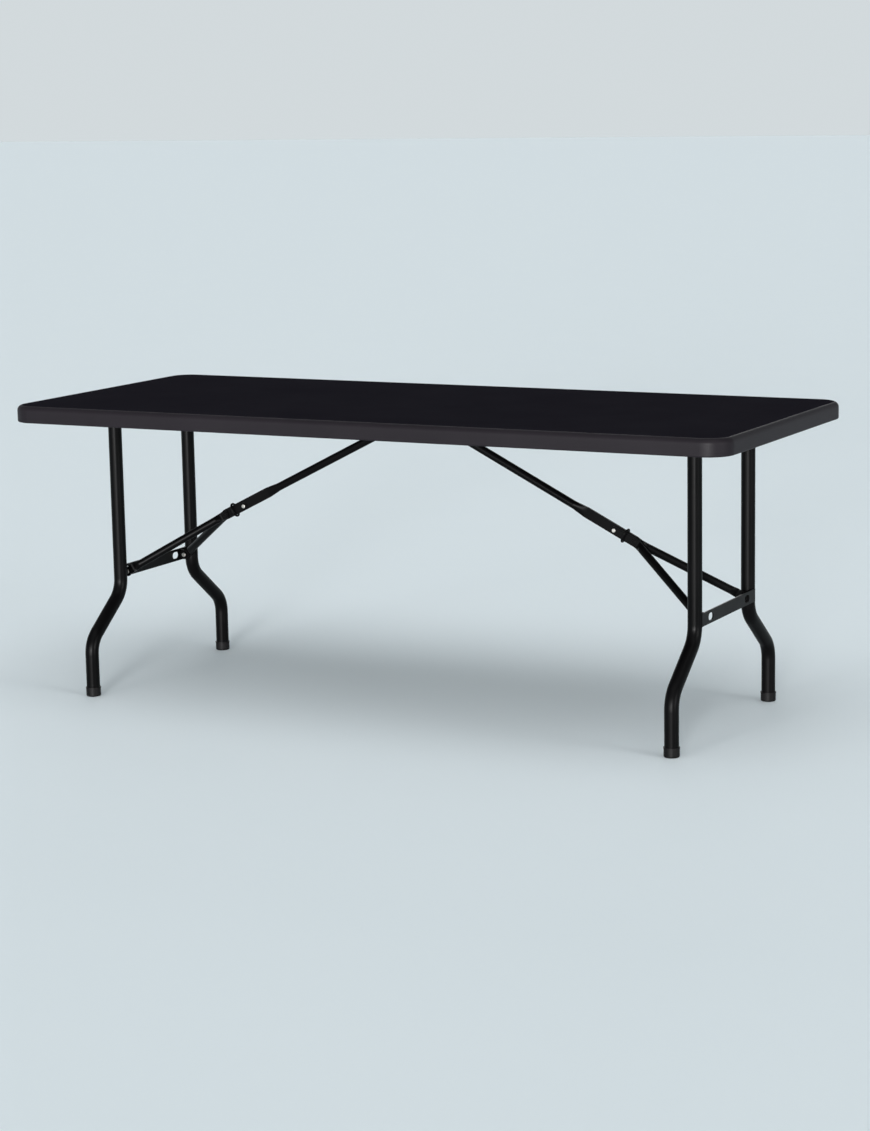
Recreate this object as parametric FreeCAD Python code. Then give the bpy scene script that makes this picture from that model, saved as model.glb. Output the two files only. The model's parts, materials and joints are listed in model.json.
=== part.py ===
"""Folding table: a moulded top on a steel underframe, with two pairs of folding legs.

Frame: X along the table, Y across it (front is -Y), +Z up, in millimetres.
The origin is on the floor, under the middle of the top.
"""
import FreeCAD
import Part

import math
import os

from FreeCAD import Vector

# ---- overall sizes -------------------------------------------------------------------
TOP_LENGTH = 1830.0
TOP_DEPTH = 760.0
TABLE_HEIGHT = 712.0

# ---- moulded top: an upper skin with its rim, and a lower skin welded inside it --------
RIM_HEIGHT = 40.0
RIM_WIDTH = 32.0
CORNER_RADIUS = 58.0
TOP_EDGE_RADIUS = 13.0
LOWER_EDGE_RADIUS = 3.0
PANEL_THICKNESS = 14.5
SKIN = 3.2
LOWER_SKIN = 2.5

# ---- steel rails inside the rim --------------------------------------------------------
RAIL_GAP = 3.0
RAIL_WIDTH = 18.0
RAIL_DEPTH = 29.5
RAIL_SHEET = 1.5
RAIL_LENGTH_PAST_LEG = 52.0
CENTRE_RAIL_WIDTH = 64.0
CENTRE_RAIL_DEPTH = 5.5

# ---- rail screws -----------------------------------------------------------------------
SCREW_COUNT = 6
SCREW_END_GAP = 68.0
SCREW_RADIUS = 2.2
SCREW_HEAD_RADIUS = 4.5
SCREW_HEAD_HEIGHT = 2.4
SCREW_BITE = 10.0
SCREW_BOSS_RADIUS = 7.0
DRIVER_HOLE_RADIUS = 6.0

# ---- legs ------------------------------------------------------------------------------
LEG_INSET = 156.0
LEG_SPACING = 322.0
LEG_DIAMETER = 32.5
LEG_WALL = 1.2
LEG_PIVOT_DROP = 19.0
BEND_TOP_HEIGHT = 237.0
BEND_FOOT_HEIGHT = 133.0
BEND_RADIUS = 62.0
FOOT_TO_RAIL = 32.0

# ---- foot caps -------------------------------------------------------------------------
CAP_WALL = 1.5
CAP_HEIGHT = 22.0
CAP_FLOOR = 4.0
CAP_EDGE_RADIUS = 3.0
CAP_COLLAR = 0.6
CAP_COLLAR_HEIGHT = 3.0

# ---- cross tube between a pair of legs, turning in a bush in each rail -----------------
CROSS_TUBE_DIAMETER = 22.0
CROSS_TUBE_WALL = 1.5
SPIGOT_DIAMETER = 14.0
SPIGOT_LENGTH = 10.0
BUSH_WALL = 1.15
BUSH_FLANGE_RADIUS = 11.0
BUSH_FLANGE = 1.8
RETAINER_RADIUS = 8.5
RETAINER_THICKNESS = 1.5

# ---- crossbar low on the legs ----------------------------------------------------------
CROSSBAR_HEIGHT = 279.0
CROSSBAR_WIDTH = 30.0
CROSSBAR_THICKNESS = 3.0
CROSSBAR_SEAT = 1.5
SLOT_LENGTH = 28.0
SLOT_WIDTH = 17.0
SLOT_FROM_LEG = 51.0

# ---- folding brace ---------------------------------------------------------------------
BRACE_SLOPE = 26.57
BRACE_DIAMETER = 19.0
BRACE_WALL = 1.2
BRACE_PIVOT_OFFSET = 20.0
BRACE_FLAT_THICKNESS = 5.0
BRACE_FLAT_WIDTH = 25.0
BRACE_FLAT_LENGTH = 137.0
BRACE_EYE_RADIUS = 9.0
EYE_FLATTENING = 20.0
HINGE_FLATTENING = 34.0
STRAP_THICKNESS = 2.0
STRAP_WIDTH = 18.0
STRAP_LENGTH = 57.0
STRAP_RIVET_DROP = 2.5

# ---- fork arms from the brace hinge to the crossbar ------------------------------------
ARM_DIAMETER = 19.0
ARM_WALL = 1.2
ARM_FLAT_THICKNESS = 3.5
ARM_HINGE_WIDTH = 20.0
ARM_EYE_WIDTH = 21.0
ARM_HINGE_STRAIGHT = 11.0
ARM_EYE_STRAIGHT = 16.0
ARM_FLAT_SPLAYED = 3.0
ARM_FLATTENING = 15.0
EAR_THICKNESS = 3.0
EAR_TO_LEG = 13.0
EAR_RADIUS = 12.0
EAR_FOOT = 12.0

# ---- rivets and the lock ring ----------------------------------------------------------
RIVET_RADIUS = 4.0
RIVET_HEAD_RADIUS = 5.5
RIVET_HEAD_HEIGHT = 2.0
STRAP_RIVET_HEAD_RADIUS = 4.8
STRAP_RIVET_HEAD_HEIGHT = 1.6
RING_WIRE = 5.0
RING_GAP = 0.75
RING_SIDE_GAP = 0.3
RING_FROM_HINGE = 28.0

# ---- bracket under the centre rail -----------------------------------------------------
BRACKET_SHEET = 2.0
BRACKET_WIDTH = 24.0
BRACKET_MARGIN = 11.0

# ---- clearances ------------------------------------------------------------------------
RUNNING = 0.05
SIDE_PLAY = 0.3

# ---- places worked out from the sizes --------------------------------------------------
RIM_BOTTOM = TABLE_HEIGHT - RIM_HEIGHT
CEILING = TABLE_HEIGHT - PANEL_THICKNESS
SKIN_INSIDE = TABLE_HEIGHT - SKIN
LEG_X = TOP_LENGTH / 2 - LEG_INSET
LEG_Y = LEG_SPACING / 2
LEG_RADIUS = LEG_DIAMETER / 2
PIVOT_Z = CEILING - LEG_PIVOT_DROP
RAIL_Y = TOP_DEPTH / 2 - RIM_WIDTH - RAIL_GAP - RAIL_WIDTH
RAIL_HALF_LENGTH = LEG_X + RAIL_LENGTH_PAST_LEG
FOOT_Y = RAIL_Y - FOOT_TO_RAIL
SCREW_Y = RAIL_Y + RAIL_WIDTH / 2
SPIGOT_RADIUS = SPIGOT_DIAMETER / 2
BUSH_BORE = SPIGOT_RADIUS + RUNNING
BUSH_RADIUS = BUSH_BORE + BUSH_WALL
CROSS_TUBE_END = RAIL_Y - BUSH_FLANGE - SIDE_PLAY
CROSSBAR_X = LEG_X + LEG_RADIUS - CROSSBAR_SEAT
BRACE_RADIUS = BRACE_DIAMETER / 2
EAR_Y = LEG_Y - LEG_RADIUS - EAR_TO_LEG - EAR_THICKNESS
ARM_EYE_Y = EAR_Y - SIDE_PLAY - ARM_FLAT_THICKNESS / 2
STRAP_OUTSIDE = BRACE_FLAT_THICKNESS / 2 + STRAP_THICKNESS
ARM_HINGE_Y = STRAP_OUTSIDE + SIDE_PLAY + ARM_FLAT_THICKNESS / 2
HOLE = RIVET_RADIUS + RUNNING

# ---- the brace linkage -----------------------------------------------------------------
# Seen from the front: the leg turns about LEG_PIVOT and carries the arms at ARM_PIVOT.
# The brace turns about BRACE_PIVOT.  Folded, all four pivots lie on one level line, so the
# brace is longer than the arms by FOLDED_GAP, and its slope then fixes both lengths.
LEG_PIVOT = Vector(LEG_X, 0, PIVOT_Z)
BRACE_PIVOT = Vector(BRACE_PIVOT_OFFSET, 0, PIVOT_Z)
ARM_PIVOT = Vector(LEG_X, 0, CROSSBAR_HEIGHT)
DOWN_THE_BRACE = Vector(math.cos(math.radians(BRACE_SLOPE)), 0, -math.sin(math.radians(BRACE_SLOPE)))
TO_ARM_PIVOT = ARM_PIVOT - BRACE_PIVOT
FOLDED_GAP = (LEG_PIVOT - BRACE_PIVOT).Length - (LEG_PIVOT - ARM_PIVOT).Length
ALONG_BRACE = DOWN_THE_BRACE.dot(TO_ARM_PIVOT)
BRACE_LENGTH = (TO_ARM_PIVOT.Length ** 2 - FOLDED_GAP ** 2) / (2 * (ALONG_BRACE - FOLDED_GAP))
ARM_LENGTH = BRACE_LENGTH - FOLDED_GAP
HINGE = BRACE_PIVOT + DOWN_THE_BRACE * BRACE_LENGTH
ARM_SLOPE = math.degrees(math.atan2(HINGE.z - ARM_PIVOT.z, ARM_PIVOT.x - HINGE.x))

ORIGIN = Vector(0, 0, 0)
ALONG_X = Vector(1, 0, 0)
ALONG_Y = Vector(0, 1, 0)
ALONG_Z = Vector(0, 0, 1)


# ---- plain shapes ----------------------------------------------------------------------
def block(x_range, y_range, z_range):
    """A box between two values on each axis."""
    size = [high - low for low, high in (x_range, y_range, z_range)]
    corner = Vector(x_range[0], y_range[0], z_range[0])
    return Part.makeBox(size[0], size[1], size[2], corner)


def rod(start, end, radius):
    """A round bar between two points."""
    return Part.makeCylinder(radius, (end - start).Length, start, end - start)


def rod_y(x, z, y_range, radius):
    """A round bar along Y."""
    return rod(Vector(x, y_range[0], z), Vector(x, y_range[1], z), radius)


def rounded_slab(length, depth, z_range, corner):
    """A plate about the Z axis with rounded upright corners."""
    x = length / 2
    y = depth / 2
    slab = block((-x, x), (-y, y), z_range)
    upright = [edge for edge in slab.Edges if edge.BoundBox.ZLength > edge.BoundBox.DiagonalLength / 2]
    return slab.makeFillet(corner, upright)


def edges_at(shape, z):
    """The edges that lie in one level plane."""
    return [edge for edge in shape.Edges if edge.BoundBox.ZLength < 0.01 and abs(edge.BoundBox.ZMin - z) < 0.01]


def eye_plate(points, radii, y_range):
    """A plate in the XZ plane: two round ends of their own radii, joined by straight sides."""
    (start, end), (r_start, r_end) = points, radii
    turn = math.asin((r_start - r_end) / (end - start).Length)
    line = math.atan2(end.z - start.z, end.x - start.x)
    ends = []
    for side in (1, -1):
        angle = line + side * (math.pi / 2 - turn)
        out = Vector(math.cos(angle), 0, math.sin(angle))
        ends.append((start + out * r_start, end + out * r_end))
    forward = Vector(math.cos(line), 0, math.sin(line))
    (start_top, end_top), (start_low, end_low) = ends
    outline = [
        Part.makeLine(start_top, end_top),
        Part.Arc(end_top, end + forward * r_end, end_low).toShape(),
        Part.makeLine(end_low, start_low),
        Part.Arc(start_low, start - forward * r_start, start_top).toShape(),
    ]
    face = Part.Face(Part.Wire(outline))
    face.translate(Vector(0, y_range[0], 0))
    return face.extrude(Vector(0, y_range[1] - y_range[0], 0))


def rivet_head(x, z, y, outward, radius, height):
    """A low domed head that stands on the plane at y."""
    head = rod_y(x, z, sorted((y, y + outward * height)), radius)
    rim = [edge for edge in head.Edges if abs(edge.BoundBox.YMin - y - outward * height) < 0.01
           and edge.BoundBox.YLength < 0.01]
    return head.makeFillet(height * 0.7, rim)


def bent_path(points, radius):
    """Straight runs through the points, joined by tangent arcs of one radius."""
    edges = []
    start = points[0]
    for before, corner, after in zip(points, points[1:], points[2:]):
        back = (before - corner).normalize()
        ahead = (after - corner).normalize()
        half_turn = (math.pi - back.getAngle(ahead)) / 2
        trim = radius * math.tan(half_turn)
        middle_way = (back + ahead).normalize()
        arc_middle = corner + middle_way * (radius / math.cos(half_turn) - radius)
        arc_start = corner + back * trim
        arc_end = corner + ahead * trim
        edges.append(Part.makeLine(start, arc_start))
        edges.append(Part.Arc(arc_start, arc_middle, arc_end).toShape())
        start = arc_end
    edges.append(Part.makeLine(start, points[-1]))
    return Part.Wire(edges)


def bar_along(path, start, direction, radius):
    """A round bar swept along a path."""
    circle = Part.Wire(Part.makeCircle(radius, start, direction))
    return path.makePipeShell([circle], True, False)


def flattened(start, end, across, radius, flat_size):
    """A tube's end as it is pressed flat: round at start, a flat oblong at end."""
    width, thickness = flat_size
    direction = (end - start).normalize()
    upward = direction.cross(across).normalize()
    half = math.atan2(width, thickness)
    corners = [half, math.pi - half, math.pi + half, 2 * math.pi - half]

    def on_circle(angle):
        return start + across * (radius * math.cos(angle)) + upward * (radius * math.sin(angle))

    def on_flat(index):
        side = 1 if index in (0, 3) else -1
        rise = 1 if index in (0, 1) else -1
        return end + across * (side * thickness / 2) + upward * (rise * width / 2)

    arcs = []
    lines = []
    for index, angle in enumerate(corners):
        following = corners[(index + 1) % 4] + (2 * math.pi if index == 3 else 0)
        middle = (angle + following) / 2
        arcs.append(Part.Arc(on_circle(angle), on_circle(middle), on_circle(following)).toShape())
        lines.append(Part.makeLine(on_flat(index), on_flat((index + 1) % 4)))
    return Part.makeLoft([Part.Wire(arcs), Part.Wire(lines)], True, True)


def joined(pieces):
    """One solid from pieces that touch."""
    return pieces[0].multiFuse(pieces[1:]).removeSplitter()


def group(pieces):
    """Separate solids that share one node."""
    return Part.makeCompound(pieces)


def mirrored(shape, axis):
    """The same shape on the other side of the table."""
    return shape.mirror(ORIGIN, axis)


def front_and_rear(shape):
    """A pair of solids, one each side of the table's long centre line."""
    return group([mirrored(shape, ALONG_Y), shape])


# ---- moulded top -----------------------------------------------------------------------
def screw_places():
    """Where the screws go in, with the height of the metal that each head holds up."""
    reach = RAIL_HALF_LENGTH - SCREW_END_GAP
    step = 2 * reach / (SCREW_COUNT - 1)
    places = []
    for side in (-1, 1):
        for index in range(SCREW_COUNT):
            places.append((Vector(-reach + index * step, side * SCREW_Y, 0), RAIL_SHEET))
        for end in (-1, 1):
            x = end * CENTRE_RAIL_WIDTH / 4
            places.append((Vector(x, side * RAIL_Y / 2, 0), CENTRE_RAIL_DEPTH))
    return places


def tabletop_shell():
    """The upper skin and the outside of the rim, open underneath."""
    outside = rounded_slab(TOP_LENGTH, TOP_DEPTH, (RIM_BOTTOM, TABLE_HEIGHT), CORNER_RADIUS)
    outside = outside.makeFillet(TOP_EDGE_RADIUS, edges_at(outside, TABLE_HEIGHT))
    outside = outside.makeFillet(LOWER_EDGE_RADIUS, edges_at(outside, RIM_BOTTOM))
    inside_size = (TOP_LENGTH - 2 * SKIN, TOP_DEPTH - 2 * SKIN)
    inside = rounded_slab(*inside_size, (RIM_BOTTOM + SKIN, SKIN_INSIDE), CORNER_RADIUS - SKIN)
    inside = inside.makeFillet(TOP_EDGE_RADIUS - SKIN, edges_at(inside, SKIN_INSIDE))
    return outside.cut(inside).cut(pan_outline(RIM_BOTTOM - 1, RIM_BOTTOM + SKIN + 1, 0))


def pan_outline(z_low, z_high, inset):
    """The plan of the lower skin, made smaller all round by inset."""
    edge = RIM_WIDTH - LOWER_SKIN + inset
    return rounded_slab(TOP_LENGTH - 2 * edge, TOP_DEPTH - 2 * edge, (z_low, z_high), CORNER_RADIUS - edge)


def tabletop_underside():
    """The lower skin: the recess that the frame and the folded legs lie in."""
    pan = pan_outline(RIM_BOTTOM, CEILING + LOWER_SKIN, 0)
    pan = pan.cut(pan_outline(RIM_BOTTOM - 1, CEILING, LOWER_SKIN))
    bosses = []
    holes = []
    for place, held in screw_places():
        foot = place + ALONG_Z * (CEILING + LOWER_SKIN / 2)
        bosses.append(rod(foot, place + ALONG_Z * SKIN_INSIDE, SCREW_BOSS_RADIUS))
        tip = place + ALONG_Z * (CEILING - held + SCREW_BITE + held + RUNNING)
        holes.append(rod(place + ALONG_Z * (CEILING - 1), tip, SCREW_RADIUS + RUNNING))
    return joined([pan] + bosses).cut(group(holes))


# ---- rails and their fixings -----------------------------------------------------------
def rear_rail():
    """A channel along the table, open towards the rim, with a hole for each leg bush."""
    low = CEILING - RAIL_DEPTH
    half = RAIL_HALF_LENGTH
    outside = block((-half, half), (RAIL_Y, RAIL_Y + RAIL_WIDTH), (low, CEILING))
    hollow = block(
        (-half - 1, half + 1),
        (RAIL_Y + RAIL_SHEET, RAIL_Y + RAIL_WIDTH + 1),
        (low + RAIL_SHEET, CEILING - RAIL_SHEET),
    )
    rail = outside.cut(hollow)
    holes = []
    for side in (-1, 1):
        holes.append(rod_y(side * LEG_X, PIVOT_Z, (RAIL_Y - 1, RAIL_Y + RAIL_SHEET + 1), BUSH_RADIUS))
    for place, held in screw_places():
        if place.y > RAIL_Y:
            holes.append(rod(place + ALONG_Z * (low - 1), place + ALONG_Z * (low + RAIL_SHEET + 1),
                             DRIVER_HOLE_RADIUS))
            holes.append(rod(place + ALONG_Z * (CEILING - held - 1), place + ALONG_Z * (CEILING + 1),
                             SCREW_RADIUS + RUNNING))
    return rail.cut(group(holes))


def centre_rail():
    """A shallow pressed channel across the table, between the two long rails."""
    half = CENTRE_RAIL_WIDTH / 2
    low = CEILING - CENTRE_RAIL_DEPTH
    outside = block((-half, half), (-RAIL_Y, RAIL_Y), (low, CEILING))
    inside = half - RAIL_SHEET
    hollow = block((-inside, inside), (-RAIL_Y - 1, RAIL_Y + 1), (low + RAIL_SHEET, CEILING + 1))
    rail = outside.cut(hollow)
    spacers = []
    holes = []
    for place, held in screw_places():
        if abs(place.y) < RAIL_Y:
            foot = place + ALONG_Z * (low + RAIL_SHEET / 2)
            spacers.append(rod(foot, place + ALONG_Z * CEILING, SCREW_BOSS_RADIUS))
            holes.append(rod(place + ALONG_Z * (low - 1), place + ALONG_Z * (CEILING + 1),
                             SCREW_RADIUS + RUNNING))
    return joined([rail] + spacers).cut(group(holes))


def frame_screws():
    """Pan-head screws from below, through the rails and into the top's bosses."""
    screws = []
    for place, held in screw_places():
        seat = place + ALONG_Z * (CEILING - held)
        shank = rod(seat, seat + ALONG_Z * (held + SCREW_BITE), SCREW_RADIUS)
        head = rod(seat - ALONG_Z * SCREW_HEAD_HEIGHT, seat, SCREW_HEAD_RADIUS)
        head = head.makeFillet(SCREW_HEAD_HEIGHT * 0.6, edges_at(head, seat.z - SCREW_HEAD_HEIGHT))
        screws.append(joined([shank, head]))
    return group(screws)


def brace_bracket():
    """A folded bracket under the centre rail: two ears that hold both brace pivots."""
    seat = CEILING - CENTRE_RAIL_DEPTH
    half = BRACE_PIVOT_OFFSET + BRACKET_MARGIN
    inner = BRACE_FLAT_THICKNESS / 2 + SIDE_PLAY
    base = block((-half, half), (-BRACKET_WIDTH / 2, BRACKET_WIDTH / 2), (seat - BRACKET_SHEET, seat))
    pieces = [base]
    for side in (-1, 1):
        y_range = sorted((side * inner, side * (inner + BRACKET_SHEET)))
        left = Vector(-BRACE_PIVOT_OFFSET, 0, PIVOT_Z)
        right = Vector(BRACE_PIVOT_OFFSET, 0, PIVOT_Z)
        ear = eye_plate((left, right), (BRACE_EYE_RADIUS, BRACE_EYE_RADIUS), y_range)
        web = block((-half, half), y_range, (PIVOT_Z, seat - BRACKET_SHEET / 2))
        pieces.extend([ear, web])
    holes = [rod_y(side * BRACE_PIVOT_OFFSET, PIVOT_Z, (-BRACKET_WIDTH, BRACKET_WIDTH), HOLE) for side in (-1, 1)]
    return joined(pieces).cut(group(holes))


def brace_pivot_pins():
    """One riveted pin for each brace, across the bracket's ears."""
    outer = BRACE_FLAT_THICKNESS / 2 + SIDE_PLAY + BRACKET_SHEET
    pins = []
    for side in (-1, 1):
        x = side * BRACE_PIVOT_OFFSET
        shank = rod_y(x, PIVOT_Z, (-outer, outer), RIVET_RADIUS)
        heads = [rivet_head(x, PIVOT_Z, way * outer, way, RIVET_HEAD_RADIUS, RIVET_HEAD_HEIGHT) for way in (-1, 1)]
        pins.append(joined([shank] + heads))
    return group(pins)


def pivot_bushes():
    """A flanged plastic bush in each rail hole, for the cross tubes to turn in."""
    sleeve_end = RAIL_Y + RAIL_SHEET + BUSH_FLANGE
    bushes = []
    for end in (-1, 1):
        x = end * LEG_X
        flange = rod_y(x, PIVOT_Z, (RAIL_Y - BUSH_FLANGE, RAIL_Y), BUSH_FLANGE_RADIUS)
        sleeve = rod_y(x, PIVOT_Z, (RAIL_Y, sleeve_end), BUSH_RADIUS)
        bore = rod_y(x, PIVOT_Z, (RAIL_Y - BUSH_FLANGE - 1, sleeve_end + 1), BUSH_BORE)
        bush = joined([flange, sleeve]).cut(bore)
        bushes.extend([bush, mirrored(bush, ALONG_Y)])
    return group(bushes)


# ---- one pair of legs, at the +X end ---------------------------------------------------
def cross_tube():
    """The tube that joins a pair of legs, with a spigot at each end."""
    end = CROSS_TUBE_END
    tip = RAIL_Y + SPIGOT_LENGTH
    radius = CROSS_TUBE_DIAMETER / 2
    body = joined([
        rod_y(LEG_X, PIVOT_Z, (-end, end), radius),
        rod_y(LEG_X, PIVOT_Z, (-tip, tip), SPIGOT_RADIUS),
    ])
    wide_bore = rod_y(LEG_X, PIVOT_Z, (-end + radius, end - radius), radius - CROSS_TUBE_WALL)
    long_bore = rod_y(LEG_X, PIVOT_Z, (-tip - 1, tip + 1), SPIGOT_RADIUS - CROSS_TUBE_WALL)
    return body.cut(joined([wide_bore, long_bore]))


def rear_leg():
    """A leg tube: straight down, out through an S-bend, and straight down to the foot."""
    top = PIVOT_Z + LEG_RADIUS
    points = [
        Vector(LEG_X, LEG_Y, top),
        Vector(LEG_X, LEG_Y, BEND_TOP_HEIGHT),
        Vector(LEG_X, FOOT_Y, BEND_FOOT_HEIGHT),
        Vector(LEG_X, FOOT_Y, CAP_FLOOR),
    ]
    path = bent_path(points, BEND_RADIUS)
    tube = bar_along(path, points[0], -ALONG_Z, LEG_RADIUS)
    tube = tube.cut(bar_along(path, points[0], -ALONG_Z, LEG_RADIUS - LEG_WALL))
    y_range = (LEG_Y - LEG_DIAMETER, LEG_Y + LEG_DIAMETER)
    above = block((LEG_X - LEG_DIAMETER, LEG_X + LEG_DIAMETER), y_range, (PIVOT_Z, top + 1))
    above = above.cut(rod_y(LEG_X, PIVOT_Z, y_range, LEG_RADIUS))
    return tube.cut(above).cut(rod_y(LEG_X, PIVOT_Z, y_range, CROSS_TUBE_DIAMETER / 2))


def rear_foot_cap():
    """A plastic cap over the foot, with a closed floor and a low collar at its mouth."""
    centre = Vector(LEG_X, FOOT_Y, 0)
    outside = rod(centre, centre + ALONG_Z * CAP_HEIGHT, LEG_RADIUS + CAP_WALL)
    outside = outside.makeFillet(CAP_EDGE_RADIUS, edges_at(outside, 0))
    collar_foot = centre + ALONG_Z * (CAP_HEIGHT - CAP_COLLAR_HEIGHT)
    collar = rod(collar_foot, centre + ALONG_Z * CAP_HEIGHT, LEG_RADIUS + CAP_WALL + CAP_COLLAR)
    bore = rod(centre + ALONG_Z * CAP_FLOOR, centre + ALONG_Z * (CAP_HEIGHT + 1), LEG_RADIUS + RUNNING)
    return joined([outside, collar]).cut(bore)


def crossbar():
    """A flat steel bar across the outer sides of both legs, with two oval holes."""
    half = LEG_Y
    low = CROSSBAR_HEIGHT - CROSSBAR_WIDTH / 2
    high = CROSSBAR_HEIGHT + CROSSBAR_WIDTH / 2
    bar = block((CROSSBAR_X, CROSSBAR_X + CROSSBAR_THICKNESS), (-half, half), (low, high))
    cuts = []
    for side in (-1, 1):
        y = side * LEG_Y
        cuts.append(rod(Vector(LEG_X, y, low - 1), Vector(LEG_X, y, high + 1), LEG_RADIUS))
        centre = Vector(CROSSBAR_X - 1, side * (LEG_Y - SLOT_FROM_LEG), CROSSBAR_HEIGHT)
        through = ALONG_X * (CROSSBAR_THICKNESS + 2)
        reach = (SLOT_LENGTH - SLOT_WIDTH) / 2
        for way in (-1, 1):
            end = centre + ALONG_Y * (way * reach)
            cuts.append(rod(end, end + through, SLOT_WIDTH / 2))
        middle = block((centre.x, centre.x + through.x), (centre.y - reach, centre.y + reach),
                       (CROSSBAR_HEIGHT - SLOT_WIDTH / 2, CROSSBAR_HEIGHT + SLOT_WIDTH / 2))
        cuts.append(middle)
    for cut in cuts:
        bar = bar.cut(cut)
    return bar


def fork_ears():
    """An angle bracket welded to the crossbar beside each leg, to hold an arm's end."""
    y_range = (EAR_Y, EAR_Y + EAR_THICKNESS)
    tongue = eye_plate((ARM_PIVOT, ARM_PIVOT + ALONG_X), (EAR_RADIUS, EAR_RADIUS), y_range)
    plate = block((LEG_X, CROSSBAR_X), y_range, (CROSSBAR_HEIGHT - EAR_RADIUS, CROSSBAR_HEIGHT + EAR_RADIUS))
    clear = block((CROSSBAR_X, CROSSBAR_X + LEG_DIAMETER), (0, LEG_Y), (0, PIVOT_Z))
    foot = block((CROSSBAR_X - EAR_THICKNESS, CROSSBAR_X), (EAR_Y, EAR_Y + EAR_FOOT),
                 (CROSSBAR_HEIGHT - EAR_RADIUS, CROSSBAR_HEIGHT + EAR_RADIUS))
    hole = rod_y(LEG_X, CROSSBAR_HEIGHT, (0, LEG_Y), HOLE)
    return front_and_rear(joined([tongue, plate, foot]).cut(clear).cut(hole))


def fork_rivets():
    """The rivets that the arms turn on, one through each ear."""
    outer = EAR_Y + EAR_THICKNESS
    inner = ARM_EYE_Y - ARM_FLAT_THICKNESS / 2 - SIDE_PLAY
    shank = rod_y(LEG_X, CROSSBAR_HEIGHT, (inner, outer), RIVET_RADIUS)
    heads = [
        rivet_head(LEG_X, CROSSBAR_HEIGHT, outer, 1, RIVET_HEAD_RADIUS, RIVET_HEAD_HEIGHT),
        rivet_head(LEG_X, CROSSBAR_HEIGHT, inner, -1, RIVET_HEAD_RADIUS, RIVET_HEAD_HEIGHT),
    ]
    return front_and_rear(joined([shank] + heads))


def pivot_retainers():
    """A spring washer pressed on each spigot, behind the rail."""
    start = RAIL_Y + RAIL_SHEET + BUSH_FLANGE + SIDE_PLAY
    y_range = (start, start + RETAINER_THICKNESS)
    washer = rod_y(LEG_X, PIVOT_Z, y_range, RETAINER_RADIUS)
    return front_and_rear(washer.cut(rod_y(LEG_X, PIVOT_Z, (start - 1, y_range[1] + 1), BUSH_BORE)))


# ---- one folding brace, at the +X end ---------------------------------------------------
def onto_brace(shape):
    """Move a shape drawn along +X from its pivot onto the sloping brace."""
    shape.rotate(ORIGIN, ALONG_Y, BRACE_SLOPE)
    shape.translate(BRACE_PIVOT)
    return shape


def onto_arm(shape):
    """Move a shape drawn along +X from the hinge onto the sloping fork."""
    shape.rotate(ORIGIN, ALONG_Y, ARM_SLOPE)
    shape.translate(HINGE)
    return shape


def upper_brace():
    """The brace tube, pressed flat at its pivot eye and along its hinge end."""
    flat_half = BRACE_FLAT_THICKNESS / 2
    y_range = (-flat_half, flat_half)
    eye_end = BRACE_EYE_RADIUS + BRACE_FLAT_THICKNESS
    flat_start = BRACE_LENGTH - BRACE_FLAT_LENGTH
    tube_start = Vector(eye_end + EYE_FLATTENING, 0, 0)
    tube_end = Vector(flat_start - HINGE_FLATTENING, 0, 0)
    eye_size = (2 * BRACE_EYE_RADIUS, BRACE_FLAT_THICKNESS)
    hinge_size = (BRACE_FLAT_WIDTH, BRACE_FLAT_THICKNESS)
    tube = rod(tube_start, tube_end, BRACE_RADIUS)
    tube = tube.cut(rod(tube_start, tube_end, BRACE_RADIUS - BRACE_WALL))
    eye = joined([
        rod_y(0, 0, y_range, BRACE_EYE_RADIUS),
        block((0, eye_end), y_range, (-BRACE_EYE_RADIUS, BRACE_EYE_RADIUS)),
    ])
    half_width = BRACE_FLAT_WIDTH / 2
    hinge_flat = joined([
        rod_y(BRACE_LENGTH, 0, y_range, half_width),
        block((flat_start, BRACE_LENGTH), y_range, (-half_width, half_width)),
    ])
    brace = joined([
        eye,
        flattened(tube_start, Vector(eye_end, 0, 0), ALONG_Y, BRACE_RADIUS, eye_size),
        tube,
        flattened(tube_end, Vector(flat_start, 0, 0), ALONG_Y, BRACE_RADIUS, hinge_size),
        hinge_flat,
    ])
    holes = [
        rod_y(0, 0, (-BRACE_RADIUS, BRACE_RADIUS), HOLE),
        rod_y(BRACE_LENGTH, 0, (-BRACE_RADIUS, BRACE_RADIUS), HOLE),
        rod_y(BRACE_LENGTH - STRAP_LENGTH, -STRAP_RIVET_DROP, (-BRACE_RADIUS, BRACE_RADIUS), HOLE),
    ]
    return onto_brace(brace.cut(group(holes)))


def hinge_straps():
    """A strap on each face of the flattened tube, from its rivet down to the hinge."""
    rivet = Vector(BRACE_LENGTH - STRAP_LENGTH, 0, -STRAP_RIVET_DROP)
    hinge = Vector(BRACE_LENGTH, 0, 0)
    radii = (STRAP_WIDTH / 2, STRAP_WIDTH / 2)
    strap = eye_plate((rivet, hinge), radii, (BRACE_FLAT_THICKNESS / 2, STRAP_OUTSIDE))
    for eye in (rivet, hinge):
        strap = strap.cut(rod_y(eye.x, eye.z, (0, BRACE_RADIUS), HOLE))
    return onto_brace(front_and_rear(strap))


def strap_rivet():
    """The rivet through both straps and the flattened tube."""
    x = BRACE_LENGTH - STRAP_LENGTH
    z = -STRAP_RIVET_DROP
    size = (STRAP_RIVET_HEAD_RADIUS, STRAP_RIVET_HEAD_HEIGHT)
    heads = [rivet_head(x, z, way * STRAP_OUTSIDE, way, *size) for way in (-1, 1)]
    return onto_brace(joined([rod_y(x, z, (-STRAP_OUTSIDE, STRAP_OUTSIDE), RIVET_RADIUS)] + heads))


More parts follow.
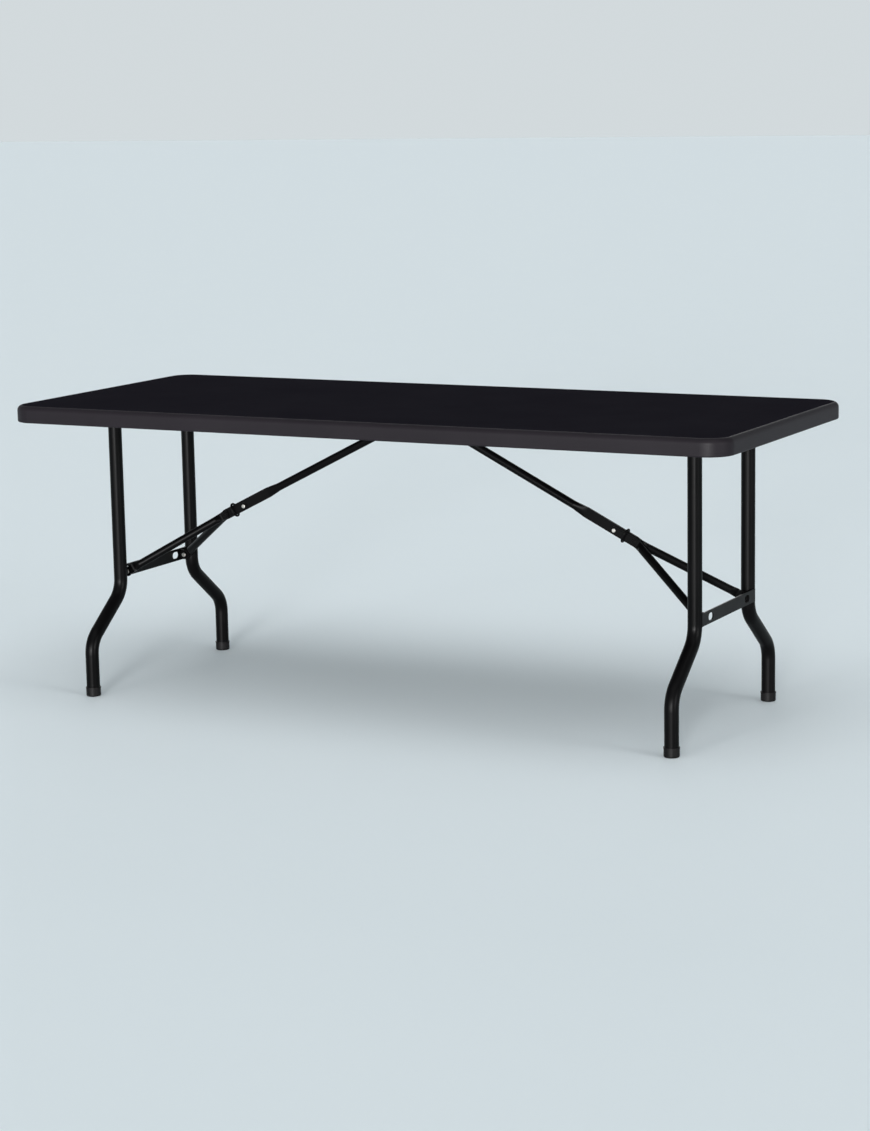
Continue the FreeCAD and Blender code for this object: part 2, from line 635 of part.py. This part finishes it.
def lock_ring():
    """A bent wire ring around the flattened tube, which slides along the brace."""
    wire = RING_WIRE / 2
    x = BRACE_LENGTH - RING_FROM_HINGE
    height = BRACE_FLAT_WIDTH / 2 + RING_GAP + wire
    width = BRACE_RADIUS + RING_SIDE_GAP + wire
    rise = height - width
    upper = Vector(x, width, rise)
    path = Part.Wire([
        Part.makeLine(Vector(x, width, -rise), upper),
        Part.Arc(upper, Vector(x, 0, height), Vector(x, -width, rise)).toShape(),
        Part.makeLine(Vector(x, -width, rise), Vector(x, -width, -rise)),
        Part.Arc(Vector(x, -width, -rise), Vector(x, 0, -height), Vector(x, width, -rise)).toShape(),
    ])
    return onto_brace(bar_along(path, Vector(x, width, -rise), ALONG_Z, wire))


def rear_fork_arm():
    """An arm of the fork: flat at the hinge, splayed out as a tube, flat at its eye."""
    thick = ARM_FLAT_THICKNESS
    splay_start = Vector(ARM_HINGE_STRAIGHT, ARM_HINGE_Y, 0)
    splay_end = Vector(ARM_LENGTH - ARM_EYE_STRAIGHT, ARM_EYE_Y, 0)
    along = (splay_end - splay_start).normalize()
    across = Vector(-along.y, along.x, 0)
    tube_start = splay_start + along * (ARM_FLAT_SPLAYED + ARM_FLATTENING)
    tube_end = splay_end - along * (ARM_FLAT_SPLAYED + ARM_FLATTENING)
    tube = rod(tube_start, tube_end, ARM_DIAMETER / 2)
    tube = tube.cut(rod(tube_start, tube_end, ARM_DIAMETER / 2 - ARM_WALL))

    def flat(eye, corner, far, width):
        half_turn = across.getAngle(ALONG_Y) / 2
        miter = Vector(-math.sin(half_turn), math.cos(half_turn), 0) * (thick / 2 / math.cos(half_turn))
        side = ALONG_Y * (thick / 2)
        splay_side = across * (thick / 2)
        outline = [eye + side, corner + miter, far + splay_side]
        outline += [far - splay_side, corner - miter, eye - side]
        face = Part.Face(Part.makePolygon(outline + outline[:1]))
        face.translate(Vector(0, 0, -width / 2))
        band = face.extrude(Vector(0, 0, width))
        round_end = rod_y(eye.x, 0, (eye.y - thick / 2, eye.y + thick / 2), width / 2)
        hole = rod_y(eye.x, 0, (eye.y - thick, eye.y + thick), HOLE)
        return joined([band, round_end]).cut(hole)

    flat_start = splay_start + along * ARM_FLAT_SPLAYED
    flat_end = splay_end - along * ARM_FLAT_SPLAYED
    arm = joined([
        flat(Vector(0, ARM_HINGE_Y, 0), splay_start, flat_start, ARM_HINGE_WIDTH),
        flattened(tube_start, flat_start, across, ARM_DIAMETER / 2, (ARM_HINGE_WIDTH, thick)),
        tube,
        flattened(tube_end, flat_end, across, ARM_DIAMETER / 2, (ARM_EYE_WIDTH, thick)),
        flat(Vector(ARM_LENGTH, ARM_EYE_Y, 0), splay_end, flat_end, ARM_EYE_WIDTH),
    ])
    return onto_arm(arm)


def hinge_rivets():
    """The hinge rivet's two ends, one in each arm."""
    inner = ARM_HINGE_Y - ARM_FLAT_THICKNESS / 2
    outer = ARM_HINGE_Y + ARM_FLAT_THICKNESS / 2
    shank = rod_y(0, 0, (inner, outer), RIVET_RADIUS)
    head = rivet_head(0, 0, outer, 1, RIVET_HEAD_RADIUS, RIVET_HEAD_HEIGHT)
    return onto_arm(front_and_rear(joined([shank, head])))


# ---- every node ------------------------------------------------------------------------
def middle_nodes():
    """The pieces that there is one of."""
    rail = rear_rail()
    return {
        "tabletop_shell": tabletop_shell(),
        "tabletop_underside": tabletop_underside(),
        "front_rail": mirrored(rail, ALONG_Y),
        "rear_rail": rail,
        "centre_rail": centre_rail(),
        "frame_screws": frame_screws(),
        "brace_bracket": brace_bracket(),
        "brace_pivot_pins": brace_pivot_pins(),
        "pivot_bushes": pivot_bushes(),
    }


def end_nodes():
    """The pieces of one end of the table, drawn at +X."""
    leg = rear_leg()
    cap = rear_foot_cap()
    arm = rear_fork_arm()
    return {
        "cross_tube": cross_tube(),
        "front_leg": mirrored(leg, ALONG_Y),
        "rear_leg": leg,
        "front_foot_cap": mirrored(cap, ALONG_Y),
        "rear_foot_cap": cap,
        "crossbar": crossbar(),
        "fork_ears": fork_ears(),
        "fork_rivets": fork_rivets(),
        "pivot_retainers": pivot_retainers(),
        "upper_brace": upper_brace(),
        "hinge_straps": hinge_straps(),
        "strap_rivet": strap_rivet(),
        "lock_ring": lock_ring(),
        "front_fork_arm": mirrored(arm, ALONG_Y),
        "rear_fork_arm": arm,
        "hinge_rivets": hinge_rivets(),
    }


def main():
    """Write every node to its own file."""
    nodes = middle_nodes()
    for name, shape in end_nodes().items():
        nodes["right_" + name] = shape
        nodes["left_" + name] = mirrored(shape, ALONG_X)
    os.makedirs("parts", exist_ok=True)
    for name, shape in nodes.items():
        shape.exportStep("parts/" + name + ".step")
    print("hinge at", HINGE, "brace", BRACE_LENGTH, "arm", ARM_LENGTH, "arm slope", ARM_SLOPE)
    for name, shape in nodes.items():
        print(name, len(shape.Solids), shape.isValid(), round(shape.Volume))


main()
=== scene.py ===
"""A folding table: moulded plastic top, black powder-coated tube legs, folding braces.

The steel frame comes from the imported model.  This script adds the moulded top, the welds
and the materials, then the floor, the lights and the camera.
"""

import json
import math

import bmesh
import bpy
from mathutils import Matrix, Vector


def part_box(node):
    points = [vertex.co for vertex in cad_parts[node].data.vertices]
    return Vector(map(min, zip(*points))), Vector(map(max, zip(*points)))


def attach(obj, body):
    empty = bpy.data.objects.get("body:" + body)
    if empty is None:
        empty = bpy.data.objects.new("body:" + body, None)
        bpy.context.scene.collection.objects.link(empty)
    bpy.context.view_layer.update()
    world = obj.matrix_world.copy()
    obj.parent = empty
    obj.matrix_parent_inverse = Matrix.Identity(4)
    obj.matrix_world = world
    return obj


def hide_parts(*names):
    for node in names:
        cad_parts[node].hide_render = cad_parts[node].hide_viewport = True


MM = 0.001

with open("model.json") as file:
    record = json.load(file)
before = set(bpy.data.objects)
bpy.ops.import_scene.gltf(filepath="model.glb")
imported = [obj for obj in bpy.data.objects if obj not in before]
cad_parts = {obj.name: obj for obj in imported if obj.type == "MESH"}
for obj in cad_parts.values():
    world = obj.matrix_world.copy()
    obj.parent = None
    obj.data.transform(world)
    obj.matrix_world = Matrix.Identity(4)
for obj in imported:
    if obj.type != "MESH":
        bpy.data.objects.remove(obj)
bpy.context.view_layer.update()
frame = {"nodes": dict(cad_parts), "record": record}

# ---- sizes taken from the model ----------------------------------------------------------
TOP_LOW, TOP_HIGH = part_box("tabletop_shell")
PAN_LOW, PAN_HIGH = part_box("tabletop_underside")
RAIL_LOW, RAIL_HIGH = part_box("rear_rail")
TUBE_LOW, TUBE_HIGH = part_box("right_cross_tube")
LEG_LOW, LEG_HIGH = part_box("right_rear_leg")
BAR_LOW, BAR_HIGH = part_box("right_crossbar")
EAR_LOW, EAR_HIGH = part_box("right_fork_ears")
CENTRE_RAIL_LOW, CENTRE_RAIL_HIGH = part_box("centre_rail")
CEILING = RAIL_HIGH[2]
RIM_BOTTOM = TOP_LOW[2]
PAN_SKIN = 2.5 * MM
RIM_WIDTH = TOP_HIGH[0] - PAN_HIGH[0] + PAN_SKIN
LEG_RADIUS = (LEG_HIGH[0] - LEG_LOW[0]) / 2
LEG_X = (LEG_HIGH[0] + LEG_LOW[0]) / 2
LEG_Y = BAR_HIGH[1]
TUBE_RADIUS = (TUBE_HIGH[0] - TUBE_LOW[0]) / 2
PIVOT_Z = (TUBE_HIGH[2] + TUBE_LOW[2]) / 2

# ---- sizes of the moulding ---------------------------------------------------------------
CORNER_RADIUS = 58 * MM
TOP_EDGE_RADIUS = 13 * MM
LOWER_EDGE_RADIUS = 3 * MM
LIP_RADIUS = 1.5 * MM
CEILING_CORNER = 4 * MM
WALL_DRAFT = 0.4 * MM
FACE_BORDER = 2 * MM
DIMPLE_PITCH = 30 * MM
DIMPLE_COLUMNS = 58
DIMPLE_ROWS = 22
DIMPLE_DEPTH = 9 * MM
DIMPLE_MARGIN = 5.5 * MM
DIMPLE_CORNER = 6.5 * MM
DIMPLE_STEPS = (  # how far in, and how much deeper, each ring of a pit lies
    (0.8 * MM, 0.6 * MM),
    (0.9 * MM, 1.8 * MM),
    (2.2 * MM, DIMPLE_DEPTH - 3.8 * MM),
    (1.2 * MM, 1.0 * MM),
    (1.4 * MM, 0.4 * MM),
)

# ---- sizes of the welds ------------------------------------------------------------------
BEAD_RADIUS = 1.5 * MM
BEAD_STEP = 2.1 * MM
SEAM_OFFSET = 6.6 * MM  # from a leg's middle to the seam along the crossbar's end
SEAM_END = 2 * MM
EAR_SEAM_END = 1 * MM

# ---- tolerances --------------------------------------------------------------------------
SAME_HEIGHT = 1e-5
ON_RIM = 1e-6


# ---- node helpers ----------------------------------------------------------------------
def new_material(name, color, roughness, metallic=0.0):
    """A material with a plain principled surface; returns its node tree and shader."""
    material = bpy.data.materials.new(name)
    material.use_nodes = True
    tree = material.node_tree
    shader = tree.nodes["Principled BSDF"]
    shader.inputs["Base Color"].default_value = (*color, 1)
    shader.inputs["Roughness"].default_value = roughness
    shader.inputs["Metallic"].default_value = metallic
    return material, tree, shader


def object_coordinates(tree, scale=(1, 1, 1)):
    """Object coordinates, stretched by scale."""
    coordinates = tree.nodes.new("ShaderNodeTexCoord")
    mapping = tree.nodes.new("ShaderNodeMapping")
    mapping.inputs["Scale"].default_value = scale
    tree.links.new(coordinates.outputs["Object"], mapping.inputs["Vector"])
    return mapping.outputs["Vector"]


def noise(tree, vector, scale, detail=3.0, roughness=0.5):
    """A noise texture's grey value."""
    node = tree.nodes.new("ShaderNodeTexNoise")
    node.inputs["Scale"].default_value = scale
    node.inputs["Detail"].default_value = detail
    node.inputs["Roughness"].default_value = roughness
    tree.links.new(vector, node.inputs["Vector"])
    return node.outputs["Fac"]


def cells(tree, vector, scale, feature="F1"):
    """A cell texture's distance."""
    node = tree.nodes.new("ShaderNodeTexVoronoi")
    node.feature = feature
    node.inputs["Scale"].default_value = scale
    tree.links.new(vector, node.inputs["Vector"])
    return node.outputs["Distance"]


def spread(tree, value, low, high, out_low, out_high):
    """A value moved from one range to another."""
    node = tree.nodes.new("ShaderNodeMapRange")
    node.inputs["From Min"].default_value = low
    node.inputs["From Max"].default_value = high
    node.inputs["To Min"].default_value = out_low
    node.inputs["To Max"].default_value = out_high
    tree.links.new(value, node.inputs["Value"])
    return node.outputs["Result"]


def blend_colors(tree, value, first, second):
    """A colour between two, by a value from 0 to 1."""
    node = tree.nodes.new("ShaderNodeMix")
    node.data_type = "RGBA"
    node.inputs["A"].default_value = (*first, 1)
    node.inputs["B"].default_value = (*second, 1)
    tree.links.new(value, node.inputs["Factor"])
    return node.outputs["Result"]


def added(tree, first, second):
    """The sum of two grey values."""
    node = tree.nodes.new("ShaderNodeMath")
    node.operation = "ADD"
    tree.links.new(first, node.inputs[0])
    tree.links.new(second, node.inputs[1])
    return node.outputs["Value"]


def bump(tree, shader, height, distance, strength=1.0):
    """Relief on the shader's normal."""
    node = tree.nodes.new("ShaderNodeBump")
    node.inputs["Strength"].default_value = strength
    node.inputs["Distance"].default_value = distance
    tree.links.new(height, node.inputs["Height"])
    tree.links.new(node.outputs["Normal"], shader.inputs["Normal"])


# ---- finishes --------------------------------------------------------------------------
def moulded_plastic(name, dark, pale, gloss_range, specular, pebble_depth):
    """Black moulded polyethylene with a fine pebble, faint clouding and scuffs."""
    material, tree, shader = new_material(name, dark, 0.5)
    vector = object_coordinates(tree)
    pebble = cells(tree, vector, 520.0, "SMOOTH_F1")
    orange_peel = noise(tree, vector, 210.0, 2.0)
    relief = added(tree, pebble, orange_peel)
    bump(tree, shader, relief, pebble_depth, 0.5)
    cloud = noise(tree, vector, 5.0, 5.0, 0.6)
    tint = spread(tree, cloud, 0.35, 0.68, 0.0, 1.0)
    tree.links.new(blend_colors(tree, tint, dark, pale), shader.inputs["Base Color"])
    wear = noise(tree, object_coordinates(tree, (1.0, 14.0, 14.0)), 24.0, 6.0, 0.7)
    tree.links.new(spread(tree, wear, 0.42, 0.72, *gloss_range), shader.inputs["Roughness"])
    shader.inputs["Specular IOR Level"].default_value = specular
    return material


def powder_coat():
    """Black powder coat over steel, with its slight orange peel."""
    material, tree, shader = new_material("powder_coat", (0.0011, 0.0011, 0.0012), 0.37)
    vector = object_coordinates(tree)
    peel = noise(tree, vector, 620.0, 2.0, 0.45)
    bump(tree, shader, peel, 0.00006, 0.5)
    cloud = noise(tree, vector, 9.0, 4.0, 0.6)
    tree.links.new(spread(tree, cloud, 0.35, 0.7, 0.33, 0.42), shader.inputs["Roughness"])
    tint = spread(tree, cloud, 0.3, 0.7, 0.0, 1.0)
    color = blend_colors(tree, tint, (0.0009, 0.0009, 0.0010), (0.0016, 0.0015, 0.0017))
    tree.links.new(color, shader.inputs["Base Color"])
    shader.inputs["Specular IOR Level"].default_value = 0.06
    return material


def cap_plastic():
    """Soft black plastic, duller than the steel's paint."""
    material, tree, shader = new_material("cap_plastic", (0.006, 0.006, 0.006), 0.5)
    vector = object_coordinates(tree)
    grain = noise(tree, vector, 900.0, 2.0)
    bump(tree, shader, grain, 0.00008, 0.5)
    scuff = noise(tree, vector, 60.0, 6.0, 0.7)
    gloss = spread(tree, scuff, 0.4, 0.7, 0.44, 0.62)
    tree.links.new(gloss, shader.inputs["Roughness"])
    tint = spread(tree, scuff, 0.45, 0.75, 0.0, 1.0)
    color = blend_colors(tree, tint, (0.0022, 0.0022, 0.0024), (0.0060, 0.0056, 0.0056))
    tree.links.new(color, shader.inputs["Base Color"])
    shader.inputs["Specular IOR Level"].default_value = 0.12
    return material


def plated_steel(name, color, roughness):
    """Bright plated steel with fine tooling marks and a little tarnish."""
    material, tree, shader = new_material(name, color, roughness, 1.0)
    vector = object_coordinates(tree)
    marks = noise(tree, vector, 1400.0, 3.0, 0.6)
    bump(tree, shader, marks, 0.00004, 0.4)
    tarnish = noise(tree, vector, 120.0, 5.0, 0.6)
    gloss = spread(tree, tarnish, 0.35, 0.7, roughness - 0.06, roughness + 0.14)
    tree.links.new(gloss, shader.inputs["Roughness"])
    tint = spread(tree, tarnish, 0.4, 0.7, 0.0, 1.0)
    darker = tuple(channel * 0.72 for channel in color)
    tree.links.new(blend_colors(tree, tint, color, darker), shader.inputs["Base Color"])
    return material


# One plastic in two materials: the pebbled top face, and the rim with its smoother gloss. The rim's
# base colour is painted darker than the top's. This is painted shade that keeps the sides dark under
# the strong low front light.
TOP_FACE = moulded_plastic("pebbled_top", (0.0118, 0.0110, 0.0148), (0.0138, 0.0130, 0.0170),
                           gloss_range=(0.80, 0.92), specular=0.0, pebble_depth=0.00022)
RIM_GLOSS_AND_PAINTED_SHADE = moulded_plastic("smooth_rim_painted_shade", (0.0072, 0.0058, 0.0077), (0.0090, 0.0073, 0.0095),
                      gloss_range=(0.46, 0.54), specular=0.11, pebble_depth=0.00014)
PAINT = powder_coat()
CAP = cap_plastic()
RIVET = plated_steel("rivet_steel", (0.46, 0.44, 0.41), 0.34)
ZINC = plated_steel("zinc_steel", (0.50, 0.50, 0.49), 0.36)
FINISH_OF_SLOT = {
    "top_plastic": RIM_GLOSS_AND_PAINTED_SHADE,
    "frame_paint": PAINT,
    "cap_plastic": CAP,
    "bush_plastic": CAP,
    "rivet_steel": RIVET,
    "zinc_steel": ZINC,
    "ring_steel": PAINT,
}


def finish_cad_nodes():
    """Each carried-over node gets the finish of its slot."""
    for part in frame["record"]["subparts"]:
        piece = frame["nodes"][part["node"]]
        piece.data.materials.clear()
        piece.data.materials.append(FINISH_OF_SLOT[part["material_slot"]])


# ---- mesh helpers ----------------------------------------------------------------------
def piece_from(shape, name, material, body):
    """A finished bmesh becomes a named piece that rides on a body."""
    mesh = bpy.data.meshes.new(name)
    shape.to_mesh(mesh)
    shape.free()
    mesh.materials.append(material)
    piece = bpy.data.objects.new(name, mesh)
    bpy.context.collection.objects.link(piece)
    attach(piece, body)
    return piece


def flat_face_at(shape, z, facing):
    """The widest face in one level plane that faces up or down."""
    level = [face for face in shape.faces if abs(face.calc_center_median().z - z) < SAME_HEIGHT
             and face.normal.z * facing > 0.99]
    return max(level, key=lambda face: face.calc_area())


def edges_of(face):
    return list(face.edges)


def rounded(shape, edges, radius, segments):
    """Round some edges over."""
    bmesh.ops.bevel(shape, geom=edges, offset=radius, offset_type="OFFSET", segments=segments,
                    profile=0.5, affect="EDGES", clamp_overlap=False, material=-1)


def smooth_shape(shape, sharp_angle):
    """Smooth faces, with the edges past an angle kept sharp."""
    for face in shape.faces:
        face.smooth = True
    for edge in shape.edges:
        edge.smooth = edge.calc_face_angle(0) < math.radians(sharp_angle)


# ---- the moulded top -----------------------------------------------------------------------
def dimple_allowed(x, y):
    """True where neither a rail nor the brace bracket lies on the ceiling."""
    clear_of_centre = abs(x) > CENTRE_RAIL_HIGH[0] + DIMPLE_PITCH / 2
    clear_of_rails = abs(y) < RAIL_LOW[1] - DIMPLE_PITCH / 2
    return clear_of_centre and clear_of_rails


def dimpled_ceiling(shape):
    """A sheet of pits that tie the lower skin to the upper one, set into the ceiling."""
    half_x = DIMPLE_PITCH * DIMPLE_COLUMNS / 2
    half_y = DIMPLE_PITCH * DIMPLE_ROWS / 2
    place = Matrix.Translation((0, 0, CEILING)) @ Matrix.Diagonal((half_x, half_y, -1, 1))
    made = bmesh.ops.create_grid(shape, x_segments=DIMPLE_COLUMNS, y_segments=DIMPLE_ROWS,
                                 size=1.0, matrix=place)
    sheet = list({face for vert in made["verts"] for face in vert.link_faces})
    border = [edge for edge in shape.edges if edge.is_boundary]
    bmesh.ops.triangle_fill(shape, use_beauty=True, edges=border, normal=(0, 0, -1))
    bmesh.ops.recalc_face_normals(shape, faces=shape.faces)
    pits = []
    for face in sheet:
        centre = face.calc_center_median()
        column = round((centre.x + half_x) / DIMPLE_PITCH - 0.5)
        row = round((centre.y + half_y) / DIMPLE_PITCH - 0.5)
        if (column + row) % 2 == 0 and dimple_allowed(centre.x, centre.y):
            pits.append(face)
    bmesh.ops.inset_individual(shape, faces=pits, thickness=DIMPLE_MARGIN)
    corners = list({vert for face in pits for vert in face.verts})
    bmesh.ops.bevel(shape, geom=corners, offset=DIMPLE_CORNER, offset_type="OFFSET", segments=2,
                    profile=0.5, affect="VERTICES", clamp_overlap=True, material=-1)
    # A pit's mouth has three corners where it had one; the faces between the pits have fewer.
    pits = [face for face in shape.faces
            if len(face.verts) >= 12 and face.calc_area() < DIMPLE_PITCH ** 2
            and abs(face.calc_center_median().z - CEILING) < SAME_HEIGHT]
    for inward, deeper in DIMPLE_STEPS:
        bmesh.ops.inset_individual(shape, faces=pits, thickness=inward, depth=-deeper)


def vertical_faces(edge):
    return [face for face in edge.link_faces if abs(face.normal.z) < 0.5]


def upright_or_upward_faces(edge):
    return [face for face in edge.link_faces if face.normal.z > -0.5]


def edges_on_rim(shape):
    """The edges that lie in the rim's lower face."""
    return [edge for edge in shape.edges
            if all(abs(vert.co.z - RIM_BOTTOM) < ON_RIM for vert in edge.verts)]


def outside_recess(vert):
    return abs(vert.co.x) > PAN_HIGH[0] + PAN_SKIN or abs(vert.co.y) > PAN_HIGH[1] + PAN_SKIN


def within_recess(vert):
    return abs(vert.co.x) < PAN_HIGH[0] + MM and abs(vert.co.y) < PAN_HIGH[1] + MM


def tabletop_moulding():
    """The top: a slab with a deep rounded rim and a pitted recess underneath, in one shell."""
    size = TOP_HIGH - TOP_LOW
    centre = (TOP_HIGH + TOP_LOW) / 2
    shape = bmesh.new()
    place = Matrix.Translation(centre) @ Matrix.Diagonal((*size, 1))
    bmesh.ops.create_cube(shape, size=1.0, matrix=place)
    upright = [edge for edge in shape.edges
               if abs(edge.verts[0].co.z - edge.verts[1].co.z) > size.z / 2]
    rounded(shape, upright, CORNER_RADIUS, 18)
    bottom = flat_face_at(shape, RIM_BOTTOM, -1)
    bmesh.ops.inset_region(shape, faces=[bottom], thickness=RIM_WIDTH, use_even_offset=True)
    made = bmesh.ops.extrude_face_region(shape, geom=[bottom])
    raised = [item for item in made["geom"] if isinstance(item, bmesh.types.BMVert)]
    bmesh.ops.translate(shape, verts=raised, vec=(0, 0, CEILING - RIM_BOTTOM))
    bmesh.ops.scale(shape, verts=raised, vec=(1 - WALL_DRAFT / size.x, 1 - WALL_DRAFT / size.y, 1))
    if bottom.is_valid:
        bmesh.ops.delete(shape, geom=[bottom], context="FACES_ONLY")
    bmesh.ops.recalc_face_normals(shape, faces=shape.faces)
    rounded(shape, edges_of(flat_face_at(shape, TOP_HIGH[2], 1)), TOP_EDGE_RADIUS, 8)
    outer = [edge for edge in edges_on_rim(shape) if len(vertical_faces(edge)) == 1
             and any(outside_recess(vert) for vert in edge.verts)]
    rounded(shape, outer, LOWER_EDGE_RADIUS, 3)
    inner = [edge for edge in edges_on_rim(shape) if len(upright_or_upward_faces(edge)) == 1
             and all(within_recess(vert) for vert in edge.verts)]
    rounded(shape, inner, LIP_RADIUS, 2)
    ceiling = flat_face_at(shape, CEILING, -1)
    rounded(shape, edges_of(ceiling), CEILING_CORNER, 3)
    ceiling = flat_face_at(shape, CEILING, -1)
    bmesh.ops.delete(shape, geom=[ceiling], context="FACES_ONLY")
    dimpled_ceiling(shape)
    bmesh.ops.inset_region(shape, faces=[flat_face_at(shape, TOP_HIGH[2], 1)], thickness=FACE_BORDER)
    smooth_shape(shape, 50)
    # Faces that point straight up take the top material. All other faces take the rim plastic, whose
    # darker base colour is painted shade.
    for face in shape.faces:
        face.material_index = int(face.normal.z > 0.995)
    piece = piece_from(shape, "tabletop_moulding", RIM_GLOSS_AND_PAINTED_SHADE, "tabletop")
    piece.data.materials.append(TOP_FACE)
    normals = piece.modifiers.new("even_shading", "WEIGHTED_NORMAL")
    normals.keep_sharp = True
    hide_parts("tabletop_shell", "tabletop_underside")


# ---- welds -----------------------------------------------------------------------------------
def weld_bead(shape, points):
    """A run of small overlapping drops of weld metal along a line of points."""
    for index, point in enumerate(points):
        size = BEAD_RADIUS * (1 + 0.12 * math.sin(index * 2.3))
        place = Matrix.Translation(point) @ Matrix.Rotation(index * 0.9, 4, "Z")
        bmesh.ops.create_icosphere(shape, subdivisions=1, radius=size, matrix=place)


def ring_on_leg(leg_y, side):
    """Where the cross tube leaves one side of a leg."""
    steps = round(2 * math.pi * TUBE_RADIUS / BEAD_STEP)
    points = []
    for index in range(steps):
        angle = 2 * math.pi * index / steps
        across = TUBE_RADIUS * math.cos(angle)
        out = math.sqrt(LEG_RADIUS ** 2 - across ** 2)
        z = PIVOT_Z + TUBE_RADIUS * math.sin(angle)
        points.append(Vector((LEG_X + across, leg_y + side * out, z)))
    return points


def straight_run(start, end):
    """Evenly spaced points between two ends."""
    start, end = Vector(start), Vector(end)
    steps = round((end - start).length / BEAD_STEP)
    return [start.lerp(end, index / steps) for index in range(steps + 1)]


def leg_welds(side_name, end):
    """All the weld beads of one pair of legs."""
    shape = bmesh.new()
    seat = LEG_X + math.sqrt(LEG_RADIUS ** 2 - SEAM_OFFSET ** 2)
    for front in (-1, 1):
        leg_y = front * LEG_Y
        weld_bead(shape, ring_on_leg(leg_y, 1))
        weld_bead(shape, ring_on_leg(leg_y, -1))
        inside_y = leg_y - front * SEAM_OFFSET
        lower_end = (seat, inside_y, BAR_LOW[2] + SEAM_END)
        upper_end = (seat, inside_y, BAR_HIGH[2] - SEAM_END)
        weld_bead(shape, straight_run(lower_end, upper_end))
        for z in (BAR_LOW[2], BAR_HIGH[2]):
            weld_bead(shape, straight_run((seat + MM, inside_y, z), (seat + MM, leg_y, z)))
        ear_y = front * EAR_HIGH[1]
        ear_foot = (BAR_LOW[0], ear_y, EAR_LOW[2] + EAR_SEAM_END)
        ear_top = (BAR_LOW[0], ear_y, EAR_HIGH[2] - EAR_SEAM_END)
        weld_bead(shape, straight_run(ear_foot, ear_top))
    if end < 0:
        bmesh.ops.scale(shape, verts=shape.verts, vec=(-1, 1, 1))
        bmesh.ops.recalc_face_normals(shape, faces=shape.faces)
    smooth_shape(shape, 80)
    piece_from(shape, side_name + "_weld_beads", PAINT, side_name + "_leg")


finish_cad_nodes()
tabletop_moulding()
for side_name, end in (("right", 1), ("left", -1)):
    leg_welds(side_name, end)


# ---- floor, light and camera -----------------------------------------------------------
def pale_floor():
    """A wide plain floor."""
    material, tree, shader = new_material("pale_floor", (0.80, 0.87, 0.90), 0.95)
    shader.inputs["Specular IOR Level"].default_value = 0.0
    grain = noise(tree, object_coordinates(tree), 3.0, 2.0)
    color = blend_colors(tree, grain, (0.795, 0.868, 0.900), (0.805, 0.874, 0.905))
    tree.links.new(color, shader.inputs["Base Color"])
    bpy.ops.mesh.primitive_plane_add(size=120, location=(0, 0, -0.0005))
    floor = bpy.context.object
    floor.name = "floor"
    floor.data.materials.append(material)


def soft_light(name, bearing, height, width, strength):
    """Even light from a far soft box: its bearing, height and width are angles in degrees."""
    data = bpy.data.lights.new(name, "SUN")
    data.energy = strength
    data.angle = math.radians(width)
    lamp = bpy.data.objects.new(name, data)
    around = math.radians(bearing)
    up = math.radians(height)
    towards = Vector((math.cos(around) * math.cos(up), math.sin(around) * math.cos(up), math.sin(up)))
    lamp.rotation_euler = (-towards).to_track_quat("-Z", "Y").to_euler()
    bpy.context.collection.objects.link(lamp)


def studio():
    """Pale surroundings, a soft box overhead, three low ones at the front and right, one behind."""
    world = bpy.data.worlds.new("studio")
    world.use_nodes = True
    tree = world.node_tree
    background = tree.nodes["Background"]
    background.inputs["Color"].default_value = (0.90, 0.97, 1.0, 1)
    direction = tree.nodes.new("ShaderNodeTexCoord").outputs["Generated"]
    height = tree.nodes.new("ShaderNodeSeparateXYZ")
    tree.links.new(direction, height.inputs["Vector"])
    brightness = spread(tree, height.outputs["Z"], 0.08, 0.35, 0.72, 0.33)
    tree.links.new(brightness, background.inputs["Strength"])
    scene = bpy.context.scene
    scene.world = world
    scene.view_settings.view_transform = "Standard"
    soft_light("overhead", -60, 72, 60, 0.90)
    soft_light("front", -73, 2.5, 12, 6.0)
    soft_light("front_left", -100, 4, 10, 1.2)
    soft_light("right", -12, 6, 22, 1.6)
    soft_light("rear", 115, 18, 25, 0.35)


def camera():
    """The camera at the three-quarter view from the right front."""
    yaw = math.radians(27.805)
    pitch = math.radians(10.12)
    roll = math.radians(-1.046)
    level_forward = Vector((-math.sin(yaw), math.cos(yaw), 0))
    forward = level_forward * math.cos(pitch) - Vector((0, 0, math.sin(pitch)))
    level_right = Vector((math.cos(yaw), math.sin(yaw), 0))
    level_up = level_right.cross(forward)
    right = level_right * math.cos(roll) + level_up * math.sin(roll)
    up = level_up * math.cos(roll) - level_right * math.sin(roll)
    data = bpy.data.cameras.new("camera")
    data.sensor_width = 36
    data.lens = 85.81
    data.clip_end = 100
    view = bpy.data.objects.new("camera", data)
    view.matrix_world = Matrix((
        (right.x, up.x, -forward.x, 2.9679),
        (right.y, up.y, -forward.y, -5.5705),
        (right.z, up.z, -forward.z, 1.4488),
        (0, 0, 0, 1),
    ))
    bpy.context.collection.objects.link(view)
    bpy.context.scene.camera = view


pale_floor()
studio()
camera()
